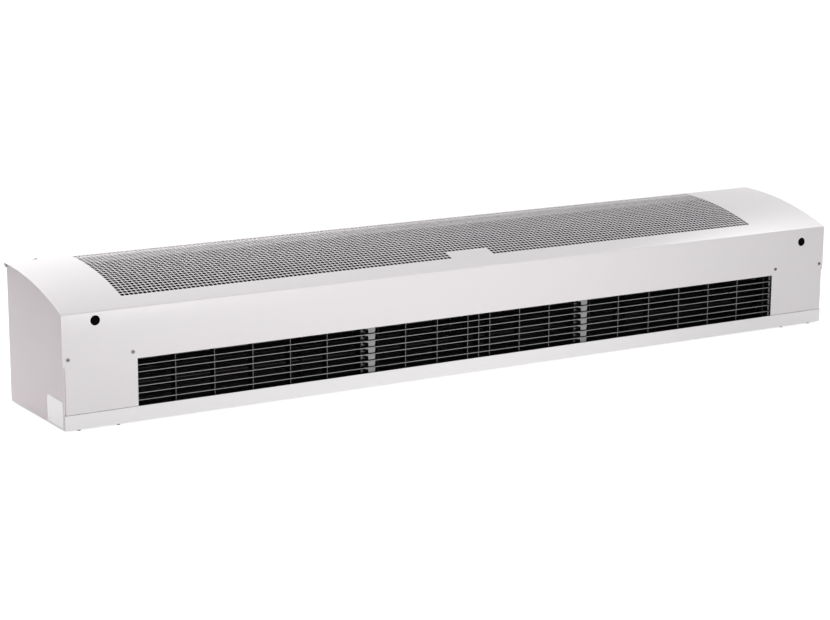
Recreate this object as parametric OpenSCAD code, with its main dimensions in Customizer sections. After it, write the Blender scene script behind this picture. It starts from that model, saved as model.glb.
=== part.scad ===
// Electric air curtain, lying on its wall plate: the outlet faces -Y, the intake faces up.
// Millimetres. The origin is the middle of the four wall holes, on the wall face of the tray.
// Profiles are drawn as (depth, height): depth runs back from the outlet face, height up from
// the wall face. along_x() turns such a profile into a length of sheet or moulding.

/* [Casing] */
// Length of the casing over the end panels
casing_len = 2000; // [1900:10:2200]
// Depth from the outlet face to the rear wall
casing_depth = 288; // [280:1:320]
// Height of the outlet face, up to the fold of the cover
front_h = 237; // [225:1:245]
// Height of the cover at its rear edge
top_h = 294; // [285:1:310]
// Thickness of the folded sheet steel
sheet = 1.2; // [0.8:0.1:1.5]
// Height of the lip at the front of the tray
lip_h = 31; // [28:0.5:33]
// Gap between the lip and the skirt of the cover
seam_gap = 0.9; // [0.4:0.1:1.5]
// Gap between the cover and the panels under it
cover_gap = 0.3; // [0.2:0.05:0.5]
// Width of the turned-in flanges of the panels
flange_w = 18; // [14:1:22]

/* [Cover] */
// How far the cover stands out past each end panel
cover_side_lap = 2.5; // [1.5:0.5:4]
// How far the cover stands out behind the rear wall
cover_rear_lap = 11; // [9:0.5:14]
// How far the lower skirt is set in from each end
skirt_inset = 2.5; // [1:0.5:4]
// Height at which the cover's ends step in to the lower skirt
step_z = 127; // [115:1:135]
// Height of the slanted part of that step
step_h = 4.5; // [3:0.5:8]
// Width of the turned-under hem at the rear of the cover
hem_w = 12; // [9:0.5:13]
// Slope of the hem below level
hem_angle = 35; // [25:1:45]

/* [Intake] */
// Width of one square intake hole
hole_w = 20; // [10:0.5:24]
// Distance between intake holes, along and across the cover
hole_pitch = [30, 31]; // [28:1:34]
// Plain sheet left of the first column of holes
intake_margin_left = 146; // [140:1:200]
// Plain sheet right of the last column of holes
intake_margin_right = 196; // [190:1:260]
// Plain sheet between the fold and the first row, along the curve
intake_margin_front = 48; // [44:1:60]
// Rows of intake holes
hole_rows = 8; // [4:1:8]
// Columns and rows of holes left out for the bare patch in front
patch_holes = [3, 1]; // [1:1:7]

/* [Outlet] */
// Plain skirt beyond each end of the outlet opening
outlet_end = 160; // [155:1:175]
// Height of the outlet opening
outlet_h = 100; // [94:1:101]
// How far the grille is set back behind the outlet face
grille_recess = 15; // [12:0.5:18]
// Depth of the grille from front to back
grille_depth = 25; // [20:1:28]
// Height of the grille
grille_h = 112; // [108:0.5:114]
// How far the grille reaches behind the skirt, past each end of the outlet
grille_lap = 12; // [8:0.5:14]
// Distance from one blade to the next
blade_pitch = 14.75; // [14:0.05:15]
// Thickness of blades, ribs and rails
blade_t = 1.6; // [1.2:0.1:2]
// Blades of one moulding, between its rails
blade_count = 7; // [5:1:7]
// Width of the combs that join the mouldings
comb_w = 25; // [20:1:28]
// Height of one tooth of a comb
tooth_h = 10.5; // [6:0.5:11]
// Clearance round grille, combs and ducts
grille_gap = 0.3; // [0.2:0.05:0.5]

/* [Fan] */
// Depth of the fan's axis behind the outlet face
fan_d = 150; // [146:0.5:154]
// Height of the fan's axis
fan_z = 150; // [147:0.5:154]
// Radius of the fan wheels
fan_r = 60; // [56:0.5:61]
// Radial width of a blade
fan_blade_w = 13; // [10:0.5:14]
// Thickness of a fan blade
fan_blade_t = 1.2; // [0.8:0.1:1.6]
// Blades of a fan wheel
fan_blades = 24; // [18:1:30]
// Stiffening discs along a fan wheel, with its two ends
fan_discs = 8; // [4:1:10]
// Radius of shafts
shaft_r = 5; // [4:0.5:6]
// Running clearance of shafts in their bushes, on radius
run_gap = 0.05; // [0.02:0.01:0.1]
// Radius of the scroll's sheet behind the wheels
scroll_r = 85; // [82:0.5:88]

/* [Motor] */
// Outer radius of the motor
motor_r = 46; // [40:1:50]
// Length of the motor's casing
motor_len = 64; // [56:1:72]
// Length of the stator core
core_len = 34; // [24:1:38]

/* [Heater] */
// Radius of a heater tube
heater_r = 4; // [3:0.25:4.5]
// Distance between the two legs of a hairpin
heater_bend = 16; // [14:0.5:18]
// Distance from one hairpin to the next
heater_pitch = 29; // [26:0.5:30]
// Hairpins in the outlet duct
heater_count = 3; // [1:1:3]

/* [Fittings] */
// Radius of the round plugs in the cover
plug_r = 10.3; // [8:0.1:12]
// Distance of the left plug below the cover's fold
plug_left_drop = 17.5; // [15:0.5:35]
// Distance of the right plug below the cover's fold
plug_right_drop = 31.5; // [15:0.5:40]
// Distance of both plugs from the ends
plug_end = 70; // [50:1:90]
// Radius of the head of a cover screw
screw_head_r = 3.6; // [3:0.1:4.5]
// Height of the head of a cover screw
screw_head_h = 2.2; // [1.5:0.1:3]
// Radius of the shank of a cover or tray screw
screw_r = 1.9; // [1.5:0.1:2.2]
// Height of the cover screws
cover_screw_z = 145.5; // [143:0.5:150]
// Distances of the cover screws from the ends
cover_screw_end = [9.5, 150.5]; // [8:0.5:160]
// Distances of the tray screws from the ends
tray_screw_end = [32, 118]; // [28:1:124]
// Distance of the tray screws from the tray's long edges
tray_screw_edge = 8; // [6:0.5:12]
// Radius of a wall hole
wall_hole_r = 4.5; // [3:0.25:6]
// Distances of the wall holes from the ends and from the long edges
wall_hole_edge = [75, 40]; // [35:1:90]
// Radius of the cable hole in the gland
cable_r = 5; // [4:0.25:6.5]
// Distance of the cable gland from the left end
gland_end = 76; // [60:1:90]

/* [Hidden] */

round_fn = 96;
arc_fn = 720;
eps = 0.01;
// Cutting shapes reach this far past the sheet that they cut.
past = 1;
// Play between a hole and the round piece through it, on radius
loose = 0.3;
half_len = casing_len / 2;
front_y = -casing_depth / 2;
outlet_w = casing_len - 2 * outlet_end;
grille_w = (outlet_w + 2 * grille_lap) / 3;

// The cover's curve: level at its rear edge, one radius down to the fold.
crest_d = casing_depth + cover_rear_lap;
curve_rise = top_h - front_h;
curve_r = (crest_d * crest_d + curve_rise * curve_rise) / (2 * curve_rise);
curve_z = top_h - curve_r;
skirt_z = lip_h + seam_gap;
function curve_height(d, r) = curve_z + sqrt(r * r - (crest_d - d) * (crest_d - d));
function under_cover(d) = curve_height(d, curve_r - sheet - cover_gap);
shelf_z = under_cover(casing_depth - flange_w);

// Partition plates stand just outside the grille's outer combs.
plate_gap = 4;
plate_x = grille_w * 1.5 + comb_w / 2 + plate_gap;
plate_foot_w = 12;
duct_x = plate_x - grille_gap / 3;
grille_drop = 2.3;
rail_set_back = 1;
rib_set_back = 3;
rib_end = 22;
grille_z = lip_h + (outlet_h - grille_h) / 2 - grille_drop;
grille_back = grille_recess + grille_depth;
first_blade = 16.3;
first_blade_z = grille_z + first_blade;
function blade_under(i) = first_blade_z + i * blade_pitch - blade_t / 2;
comb_back = 2;
tooth_gap = 0.2;
tooth_set_back = 0.5;
floor_z = grille_z - grille_gap;
hood_z = grille_z + grille_h + grille_gap;

// Fan housing
lip_room = 5;
scroll_drop = 25;
scroll_z = fan_z - scroll_drop;
scroll_end = 50;
guide_rise = 25;
guide_drop = 15;
function scroll_point(r, angle) = [fan_d + r * cos(angle), scroll_z + r * sin(angle)];

// The duct between fan and grille: its floor and roof fall in towards the grille.
duct_d = grille_back + comb_back;
tongue_d = fan_d - fan_r;
tongue_drop = 28;
tongue_z = fan_z - tongue_drop;
tongue_lip = [8, 34];
tongue_flange_h = 24;
function duct_floor(d) = floor_z + (scroll_z - scroll_r - floor_z) * (d - duct_d) / (fan_d - duct_d);
function duct_roof(d) = hood_z + (tongue_z - hood_z) * (d - duct_d) / (tongue_d - duct_d);
wheel_gap = 12;
hub_r = 12;
hub_len = 20;
disc_t = 1.5;
centre_plate_t = 2;
centre_arm_w = 30;
centre_ring_w = 8;
centre_groove = 2;
centre_rubber_len = 10;
centre_bush_len = 14;
wheel_inner = 14;
wheel_outer = plate_x - wheel_gap;
rubber_r = 16;
bush_r = 8;
bush_len = 16;
housing_flange_r = 30;
housing_t = 1.5;
hub_room = 8;
rubber_room = 2;
blade_root = 6;
blade_lead = 3;
blade_span = [4, 5];

// Motor, outside the right partition
motor_stand = 9;
motor_x = plate_x + sheet + motor_stand;
shell_t = 1.5;
boss_r = 10;
boss_len = 8;
core_x = motor_x + (motor_len - core_len) / 2;
core_bore_r = 26;
air_gap = 0.6;
post_r = 4;
post_bore_r = 2;
post_out = 8;
post_circle_r = motor_r + post_out;
ear_w = 12;
ear_t = 2;
winding_len = 8;
winding_clear = [3, 4];
shaft_out = 6;
capacitor_in = 30;
capacitor_x = plate_x + capacitor_in;
capacitor_len = 55;
capacitor_r = 14;
capacitor_d = 75;
foot_from = 10;
foot_size = [20, 16, 6];

// Heater
heater_behind = 20;
heater_above = 25;
heater_d = duct_d + heater_behind;
heater_z = floor_z + heater_above;
cold_end = 24;
terminal_len = [12, 6];
terminal_wall = 2;
cold_end_x = -(plate_x + sheet + cold_end);
bend_x = plate_x - cold_end;
hanger_t = 1.5;
hanger_w = 18;
hanger_x = [-plate_x / 2, plate_x / 2];
cutout_r = 8;
cutout_d = fan_d - 75;
cutout_z = hood_z + 32;
cutout_ear = 13;
cutout_h = 10;
cutout_ear_t = 2;

// Electrical compartment, left of the left partition. The rail fits between the wall plates and
// carries two contactors and the terminal block, evenly spaced.
wall_plate_size = [108, 52, 3];
wall_plate_edge = 1;
wall_plate_gap = 5.8;
rail_end = 64;
rail_x = -(half_len - rail_end);
rail_w = 35;
rail_h = 7.5;
rail_t = 1;
rail_wing = 4;
rail_d = sheet + wall_plate_edge + wall_plate_size[1] + wall_plate_gap;
rail_len = casing_depth - 2 * rail_d;
contactor_size = [44, 44, 40];
contactor_top = [32, 22];
block_len = 40;
block_w = 36;
block_h = 30;
block_poles = 5;
block_hole = [2.5, 8];
rail_gap = (rail_len - 2 * contactor_size[1] - block_len) / 4;
contactor_d = [rail_d + rail_gap, rail_d + 2 * rail_gap + contactor_size[1]];
lead_r = 4;
lead_d = rail_d + rail_len - rail_gap - block_len / 2;
lead_z = 18;
lead_bend_r = 12;
lead_top = fan_z - motor_r - loose;
lead_aside = 12;
grommet_hole_r = lead_r + 3;
grommet_r = lead_r + 6;
grommet_len = 6;

// Fittings
plug_left_z = front_h - plug_left_drop;
plug_right_z = front_h - plug_right_drop;
plug_hole_r = plug_r - 1.5;
plug_head_h = 1.4;
plug_sleeve = 8;
plug_wall = 1.3;
cover_screw_len = 8;
tray_head_r = 4;
tray_head_h = 3.4;
tray_screw_len = sheet + wall_plate_size[2] + 2;
slot_w = 0.8;
slot_depth = 1;

gland_x = gland_end - half_len;
gland_below = 13.3;
gland_z = top_h - gland_below;
gland_flat_r = 11.7;
gland_body_r = 11.5;
gland_hex_h = 6;
gland_nut_h = 30;
gland_taper = 6;
gland_thread_r = 9;
gland_thread_len = 12;
gland_lock_h = 5;
gland_lip = 2;
thread_play = 0.2;
gland_room = 18;

label_size = [81, 55, 0.3];
label_from = [9, 3];

/* Helpers */

// A profile in (depth, height), from x0 to x1.
module along_x(x0, x1) {
    translate([x0, front_y, 0]) rotate([90, 0, 90]) linear_extrude(height = x1 - x0) children();
}

// A round bar along X, its axis at a depth and height.
module bar_x(x0, x1, r, d, z) {
    translate([x0, front_y + d, z]) rotate([0, 90, 0]) cylinder(r = r, h = x1 - x0, $fn = round_fn);
}

// A round bar along Y, between two depths.
module bar_y(d0, d1, r, x, z) {
    translate([x, front_y + d0, z]) rotate([-90, 0, 0]) cylinder(r = r, h = d1 - d0, $fn = round_fn);
}

module tube_x(x0, x1, r_out, r_in, d, z) {
    difference() {
        bar_x(x0, x1, r_out, d, z);
        bar_x(x0 - past, x1 + past, r_in, d, z);
    }
}

module box_at(x0, x1, d0, d1, z0, z1) {
    translate([x0, front_y + d0, z0]) cube([x1 - x0, d1 - d0, z1 - z0]);
}

// A drill through a level plate whose lower face is at z = 0.
module drill(r, plate_t) {
    translate([0, 0, -past]) cylinder(r = r, h = plate_t + 2 * past, $fn = round_fn);
}

module at_both_ends() {
    children();
    mirror([1, 0, 0]) children();
}

/* Casing */

// The space under the cover, drawn in by an inset on every side.
module room_outline(inset) {
    intersection() {
        translate([crest_d, curve_z]) circle(r = curve_r - sheet - cover_gap - inset, $fn = arc_fn);
        translate([sheet + cover_gap + inset, sheet + inset])
            square([casing_depth - 2 * (sheet + inset) - 2 * cover_gap, top_h]);
    }
}

// Wall plate with its front lip and rear wall, folded from one sheet.
module tray_outline() {
    square([casing_depth, sheet]);
    square([sheet, lip_h]);
    translate([casing_depth - sheet, 0]) square([sheet, shelf_z]);
    translate([casing_depth - flange_w, shelf_z - sheet]) square([flange_w, sheet]);
}

module base_tray() {
    color("whitesmoke") difference() {
        along_x(-half_len, half_len) tray_outline();
        wall_hole_places() drill(wall_hole_r, sheet);
        tray_screw_places() drill(screw_r, sheet);
        bar_y(casing_depth - sheet - past, casing_depth + past, gland_thread_r, gland_x, gland_z);
        // the shelf stops short of the end panels and of the gland's lock nut
        at_both_ends() box_at(half_len - flange_w - cover_gap, half_len + past,
            casing_depth - flange_w - past, casing_depth - sheet, shelf_z - sheet - past, top_h);
        box_at(gland_x - gland_room, gland_x + gland_room, casing_depth - flange_w - past,
            casing_depth - sheet, gland_z - gland_room, top_h);
    }
}

// End panel with its edges turned in; the cover rests on it and screws to its front flange.
module end_panel() {
    x1 = half_len;
    difference() {
        union() {
            along_x(x1 - sheet, x1) room_outline(0);
            along_x(x1 - flange_w, x1 - sheet / 2) difference() {
                room_outline(0);
                room_outline(sheet);
            }
        }
        bar_y(-past, sheet * 3 + past, screw_r, x1 - cover_screw_end[0], cover_screw_z);
        // the flange stops short of the lip
        box_at(x1 - flange_w - past, x1 - sheet, -past, 2 * sheet + cover_gap + eps, 0, skirt_z + 2);
    }
}

module end_panel_right() color("gainsboro") end_panel();
module end_panel_left() color("gainsboro") mirror([1, 0, 0]) end_panel();

module cover_outline() {
    intersection() {
        difference() {
            translate([crest_d, curve_z]) circle(r = curve_r, $fn = arc_fn);
            translate([crest_d, curve_z]) circle(r = curve_r - sheet, $fn = arc_fn);
        }
        translate([0, front_h - sheet * 2]) square([crest_d, top_h]);
    }
    translate([0, skirt_z]) square([sheet, front_h - skirt_z]);
    translate([crest_d - sheet / 2, top_h - sheet / 4]) rotate(180 + hem_angle) square([hem_w, sheet]);
}

// The step at the ends of the skirt: full width above it, set in below it.
module skirt_step() {
    step = cover_side_lap + skirt_inset;
    x1 = half_len + cover_side_lap;
    translate([x1, front_y + sheet + past, 0]) rotate([90, 0, 0]) linear_extrude(height = sheet + 2 * past)
        polygon([[past, 0], [-step, 0], [-step, step_z], [0, step_z + step_h], [past, step_z + step_h]]);
}

module intake_holes() {
    x_start = intake_margin_left - half_len + hole_w / 2;
    columns = floor((casing_len - intake_margin_left - intake_margin_right - hole_w) / hole_pitch[0]);
    patch_from = round((columns - patch_holes[0]) / 2) + 1;
    for (j = [0 : hole_rows - 1]) {
        length_along = intake_margin_front + hole_w / 2 + j * hole_pitch[1];
        angle = asin(crest_d / curve_r) - length_along / curve_r * 180 / PI;
        for (i = [0 : columns]) {
            in_patch = j < patch_holes[1] && i >= patch_from && i < patch_from + patch_holes[0];
            if (!in_patch)
                translate([x_start + i * hole_pitch[0], front_y + crest_d, curve_z])
                    rotate([angle, 0, 0]) translate([-hole_w / 2, -hole_w / 2, curve_r - sheet * 2])
                        cube([hole_w, hole_w, sheet * 4]);
        }
    }
}

// One folded sheet: curved and punched above, with a skirt cut out for the outlet.
module top_cover() {
    x1 = half_len + cover_side_lap;
    color("whitesmoke") difference() {
        along_x(-x1, x1) cover_outline();
        intake_holes();
        box_at(-outlet_w / 2, outlet_w / 2, -past, sheet + past, 0, lip_h + outlet_h);
        at_both_ends() skirt_step();
        bar_y(-past, sheet + past, plug_hole_r, plug_end - half_len, plug_left_z);
        bar_y(-past, sheet + past, plug_hole_r, half_len - plug_end, plug_right_z);
        cover_screw_places() bar_y(-past, sheet + past, screw_r, 0, cover_screw_z);
        // the hem is notched where the cable gland stands out
        box_at(gland_x - gland_room, gland_x + gland_room, casing_depth + cover_gap, crest_d + 2,
            gland_z - gland_room, top_h - sheet - 0.1);
    }
}

/* Outlet */

// Where the ribs stand, as shares of the way from the middle of a moulding to its outer ribs.
rib_reach = grille_w / 2 - rib_end;
grille_ribs_side = [-1, -0.682, -0.341, 0, 0.341, 0.682, 1] * rib_reach;
grille_ribs_centre = [-1, -0.733, -0.42, -0.112, 0, 0.112, 0.42, 0.733, 1] * rib_reach;

// One moulding: level blades on upright ribs, between two rails.
module outlet_grille(middle_x, ribs) {
    x0 = middle_x - grille_w / 2 + grille_gap;
    x1 = middle_x + grille_w / 2 - grille_gap;
    color("dimgray") {
        for (z = [grille_z, grille_z + grille_h - blade_t])
            box_at(x0, x1, grille_recess + rail_set_back, grille_back, z, z + blade_t);
        for (i = [0 : blade_count - 1])
            box_at(x0, x1, grille_recess, grille_back, blade_under(i), blade_under(i) + blade_t);
        for (x = ribs)
            box_at(middle_x + x - blade_t / 2, middle_x + x + blade_t / 2, grille_recess + rib_set_back,
                grille_back - rail_set_back, grille_z, grille_z + grille_h);
    }
}

module outlet_grille_left() outlet_grille(-grille_w, grille_ribs_side);
module outlet_grille_centre() outlet_grille(0, grille_ribs_centre);
module outlet_grille_right() outlet_grille(grille_w, grille_ribs_side);

// Combs behind the joints of the mouldings: a back strip with a tooth under every blade.
module grille_comb(middle_x) {
    box_at(middle_x - comb_w / 2, middle_x + comb_w / 2, grille_back + grille_gap,
        grille_back + comb_back, grille_z, grille_z + grille_h);
    for (i = [0 : blade_count - 1]) {
        tooth_top = blade_under(i) - tooth_gap;
        box_at(middle_x - comb_w / 2, middle_x + comb_w / 2, grille_recess + tooth_set_back,
            grille_back + comb_back / 2, tooth_top - tooth_h, tooth_top);
    }
}

module grille_combs() {
    color("darkgray") for (x = [-1.5, -0.5, 0.5, 1.5]) grille_comb(x * grille_w);
}

/* Fan housing */

// Sheet behind and under the wheels: the scroll, then the floor of the outlet duct.
module scroll_outline() {
    intersection() {
        translate([fan_d, scroll_z]) difference() {
            circle(r = scroll_r + sheet, $fn = arc_fn);
            circle(r = scroll_r, $fn = arc_fn);
        }
        translate([fan_d, scroll_z]) polygon([[0, 0], [0, -2 * scroll_r], [2 * scroll_r, -2 * scroll_r],
            [2 * scroll_r * cos(scroll_end), 2 * scroll_r * sin(scroll_end)]]);
    }
    low_z = scroll_z - scroll_r;
    front_d = grille_recess - rail_set_back;
    polygon([[fan_d, low_z], [duct_d, floor_z], [front_d, floor_z], [front_d, floor_z - sheet],
        [duct_d, floor_z - sheet], [fan_d, low_z - sheet]]);
    // foot under the duct
    translate([grille_back, sheet]) square([sheet, floor_z - sheet * 1.5]);
}

// Sheet from the tip of the scroll to the rear wall and up it, which leads the air in.
module guide_outline() {
    guide_d = casing_depth - sheet - cover_gap;
    guide_z = scroll_point(scroll_r, scroll_end)[1] + guide_rise;
    guide_top = shelf_z - guide_drop;
    polygon([scroll_point(scroll_r + sheet / 2, scroll_end - 0.5), [guide_d - sheet, guide_z],
        [guide_d - sheet, guide_top], [guide_d, guide_top], [guide_d, guide_z - sheet],
        scroll_point(scroll_r + sheet / 2, scroll_end - 1.5)]);
}

module fan_scroll() {
    color("silver") {
        along_x(-duct_x, duct_x) scroll_outline();
        along_x(-duct_x, duct_x) guide_outline();
    }
}

// Sheet above the duct: rests on the grille, guides the jet and stops just short of the wheels.
module tongue_outline() {
    flange_d = sheet + cover_gap;
    flange_z = hood_z + tongue_flange_h;
    lip = [tongue_d - tongue_lip[0], tongue_z + tongue_lip[1]];
    t = sheet;
    polygon([[flange_d, flange_z], [flange_d, hood_z], [duct_d, hood_z], [tongue_d, tongue_z], lip,
        [lip[0] - t, lip[1]], [tongue_d - t, tongue_z + t], [duct_d, hood_z + t],
        [flange_d + t, hood_z + t], [flange_d + t, flange_z]]);
}

module fan_tongue() {
    color("silver") difference() {
        along_x(-duct_x, duct_x) tongue_outline();
        cover_screw_places() bar_y(0, 3 * sheet + past, screw_r, 0, cover_screw_z);
    }
}

// Partition between the duct and an end compartment, standing on the tray.
module side_plate(holes_for_heater, shaft_hole_r) {
    x0 = plate_x - past;
    x1 = plate_x + sheet + past;
    difference() {
        union() {
            along_x(plate_x, plate_x + sheet) intersection() {
                room_outline(0);
                translate([0, sheet]) square([casing_depth - sheet - 2 * cover_gap, top_h]);
            }
            box_at(plate_x, plate_x + plate_foot_w, rail_d, rail_d + rail_len, sheet, 2 * sheet);
        }
        // clear of the front lip and of the shelf on the rear wall
        box_at(x0, x1, 0, grille_recess - 2, 0, lip_h + lip_room);
        box_at(x0, x1, casing_depth - flange_w - past, casing_depth, shelf_z - sheet - past, top_h);
        bar_x(x0, x1, shaft_hole_r, fan_d, fan_z);
        bar_x(x0, x1, grommet_hole_r, lead_d, lead_z);
        if (holes_for_heater) heater_leg_places() bar_x(x0, x1, heater_r + loose, 0, 0);
    }
}

module side_plate_left() color("silver") mirror([1, 0, 0]) side_plate(true, rubber_r + rubber_room);
module side_plate_right() color("silver") side_plate(false, hub_r + hub_room);

/* Fan wheels */

// One forward-curved blade of a wheel, seen from its end.
module fan_blade_outline() {
    curl_r = fan_blade_w + 1;
    tip_r = fan_r - fan_blade_t;
    root_r = fan_r - fan_blade_w;
    intersection() {
        difference() {
            circle(r = tip_r, $fn = round_fn);
            circle(r = root_r, $fn = round_fn);
        }
        translate([root_r + blade_lead, curl_r - 1]) difference() {
            circle(r = curl_r + fan_blade_t / 2, $fn = round_fn);
            circle(r = curl_r - fan_blade_t / 2, $fn = round_fn);
        }
        translate([root_r - blade_span[0], -blade_span[1]])
            square([fan_blade_w + 2 * blade_span[0], fan_blade_w]);
    }
}

// Wheel from x0 to x1 with a hub at each end.
module fan_wheel(x0, x1) {
    step = (x1 - x0 - disc_t) / (fan_discs - 1);
    color("lightgray") difference() {
        union() {
            for (i = [0 : fan_blades - 1])
                translate([x0 + disc_t / 2, front_y + fan_d, fan_z]) rotate([i * 360 / fan_blades, 0, 0])
                    rotate([90, 0, 90]) linear_extrude(height = x1 - x0 - disc_t) fan_blade_outline();
            for (i = [1 : fan_discs - 2])
                tube_x(x0 + i * step, x0 + i * step + disc_t, fan_r, fan_r - fan_blade_w - blade_root,
                    fan_d, fan_z);
            for (x = [x0, x1 - disc_t]) bar_x(x, x + disc_t, fan_r, fan_d, fan_z);
            for (x = [x0, x1 - hub_len]) bar_x(x, x + hub_len, hub_r, fan_d, fan_z);
        }
        for (x = [x0, x1 - hub_len]) bar_x(x - past, x + hub_len + past, shaft_r, fan_d, fan_z);
    }
}

module fan_wheel_left() fan_wheel(-wheel_outer, -wheel_inner);
module fan_wheel_right() fan_wheel(wheel_inner, wheel_outer);

bearing_x = plate_x + sheet;

module left_shaft() {
    color("gray") bar_x(-bearing_x - bush_len - 2, -wheel_outer + hub_len, shaft_r, fan_d, fan_z);
}

module centre_shaft() {
    color("gray") bar_x(-wheel_inner - hub_len, wheel_inner + hub_len, shaft_r, fan_d, fan_z);
}

module motor_shaft() {
    color("gray") bar_x(wheel_outer - hub_len, motor_x + motor_len + shaft_out, shaft_r, fan_d, fan_z);
}

module motor_rotor() {
    color("slategray") tube_x(core_x, core_x + core_len, core_bore_r - air_gap, shaft_r, fan_d, fan_z);
}

// Cup outside the left partition that holds the rubber ring.
module left_bearing_housing() {
    t = housing_t;
    cup_x = -bearing_x - bush_len + 2;
    color("silver") {
        tube_x(-bearing_x - t, -bearing_x, housing_flange_r, rubber_r, fan_d, fan_z);
        tube_x(cup_x, -bearing_x, rubber_r + t, rubber_r, fan_d, fan_z);
        tube_x(cup_x - t, cup_x, rubber_r + t, bush_r + 2, fan_d, fan_z);
    }
}

// Plate across the housing between the wheels.
module centre_bearing_plate() {
    color("silver") difference() {
        along_x(-centre_plate_t / 2, centre_plate_t / 2) {
            translate([fan_d, fan_z]) circle(r = rubber_r + centre_ring_w, $fn = round_fn);
            intersection() {
                translate([fan_d, scroll_z]) circle(r = scroll_r, $fn = arc_fn);
                union() {
                    translate([fan_d, fan_z - centre_arm_w / 2]) square([scroll_r * 2, centre_arm_w]);
                    translate([fan_d - centre_arm_w / 2, scroll_z - scroll_r])
                        square([centre_arm_w, fan_z - scroll_z + scroll_r]);
                }
            }
        }
        bar_x(-centre_plate_t, centre_plate_t, rubber_r - centre_groove, fan_d, fan_z);
    }
}

module bearing_rubbers() {
    color("black") {
        tube_x(-bearing_x - bush_len + 2, -bearing_x, rubber_r, bush_r, fan_d, fan_z);
        difference() {
            tube_x(-centre_rubber_len / 2, centre_rubber_len / 2, rubber_r, bush_r, fan_d, fan_z);
            // groove that snaps over the centre plate
            tube_x(-centre_plate_t / 2, centre_plate_t / 2, rubber_r + past, rubber_r - centre_groove,
                fan_d, fan_z);
        }
    }
}

module bearing_bushes() {
    color("goldenrod") {
        tube_x(-bearing_x - bush_len + 1, -bearing_x + 1, bush_r, shaft_r + run_gap, fan_d, fan_z);
        tube_x(-centre_bush_len / 2, centre_bush_len / 2, bush_r, shaft_r + run_gap, fan_d, fan_z);
    }
}

/* Motor */

// Half of the motor's casing: a cup with a bearing boss, its open side towards +X.
module motor_shell() {
    half = motor_len / 2;
    difference() {
        union() {
            difference() {
                bar_x(0, half, motor_r, 0, 0);
                bar_x(shell_t, half + past, motor_r - shell_t, 0, 0);
            }
            bar_x(0, boss_len, boss_r, 0, 0);
        }
        bar_x(-past, boss_len + past, shaft_r + run_gap, 0, 0);
    }
}

module post_places() {
    for (a = [45 : 90 : 315])
        translate([0, post_circle_r * cos(a), fan_z + post_circle_r * sin(a)]) children();
}

module motor_front_shell() {
    color("gray") {
        translate([motor_x, fan_d, fan_z]) motor_shell();
        // ears on the posts
        difference() {
            for (a = [45 : 90 : 315])
                translate([motor_x, front_y + fan_d, fan_z]) rotate([a, 0, 0])
                    translate([0, motor_r - shell_t / 2, -ear_w / 2])
                        cube([ear_t, post_out + shell_t / 2 + ear_w / 2, ear_w]);
            post_places() bar_x(motor_x - past, motor_x + ear_t + past, post_bore_r, fan_d, 0);
        }
    }
}

module motor_rear_shell() {
    color("gray") translate([2 * motor_x + motor_len, 0, 0]) mirror([1, 0, 0])
        translate([motor_x, fan_d, fan_z]) motor_shell();
}

module motor_stator() {
    color("dimgray") tube_x(core_x, core_x + core_len, motor_r - shell_t, core_bore_r, fan_d, fan_z);
}

module motor_windings() {
    color("peru") for (x = [core_x - winding_len, core_x + core_len])
        tube_x(x, x + winding_len, motor_r - shell_t - winding_clear[1], core_bore_r + winding_clear[0],
            fan_d, fan_z);
}

module motor_posts() {
    color("silver") post_places() tube_x(plate_x + sheet, motor_x, post_r, post_bore_r, fan_d, 0);
}

module run_capacitor() {
    color("whitesmoke") {
        bar_x(capacitor_x, capacitor_x + capacitor_len, capacitor_r, capacitor_d, sheet + 2 + capacitor_r);
        box_at(capacitor_x + foot_from, capacitor_x + foot_from + foot_size[0],
            capacitor_d - foot_size[1] / 2, capacitor_d + foot_size[1] / 2, sheet, sheet + foot_size[2]);
    }
}

/* Heater */

module heater_leg_places() {
    for (i = [0 : heater_count - 1], side = [0, 1])
        translate([0, heater_d, heater_z + i * heater_pitch + side * heater_bend]) children();
}

// Hairpin tubes along the duct, bent at the right, their cold ends through the left partition.
module heater_hairpins() {
    color("lightslategray") {
        heater_leg_places() bar_x(cold_end_x, bend_x, heater_r, 0, 0);
        for (i = [0 : heater_count - 1])
            translate([bend_x, front_y + heater_d, heater_z + i * heater_pitch + heater_bend / 2])
                rotate([90, 0, 0]) rotate(-90) rotate_extrude(angle = 180, $fn = round_fn)
                    translate([heater_bend / 2, 0]) circle(r = heater_r, $fn = round_fn);
    }
}

module heater_hangers() {
    color("silver") for (x = hanger_x) difference() {
        along_x(x, x + hanger_t) polygon([
            [heater_d - hanger_w / 2, duct_floor(heater_d - hanger_w / 2)],
            [heater_d + hanger_w / 2, duct_floor(heater_d + hanger_w / 2)],
            [heater_d + hanger_w / 2, duct_roof(heater_d + hanger_w / 2)],
            [heater_d - hanger_w / 2, duct_roof(heater_d - hanger_w / 2)]]);
        heater_leg_places() bar_x(x - past, x + hanger_t + past, heater_r + loose, 0, 0);
    }
}

module heater_terminals() {
    color("ivory") heater_leg_places()
        difference() {
            bar_x(cold_end_x - terminal_len[0], cold_end_x + terminal_len[1],
                heater_r + terminal_wall, 0, 0);
            bar_x(cold_end_x, cold_end_x + terminal_len[1] + past, heater_r, 0, 0);
        }
}

module overheat_cutout() {
    color("beige") {
        bar_x(plate_x - cutout_h, plate_x, cutout_r, cutout_d, cutout_z);
        box_at(plate_x - cutout_ear_t, plate_x, cutout_d - cutout_ear, cutout_d + cutout_ear,
            cutout_z - cutout_r / 2, cutout_z + cutout_r / 2);
    }
}

/* Electrical compartment */

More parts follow.
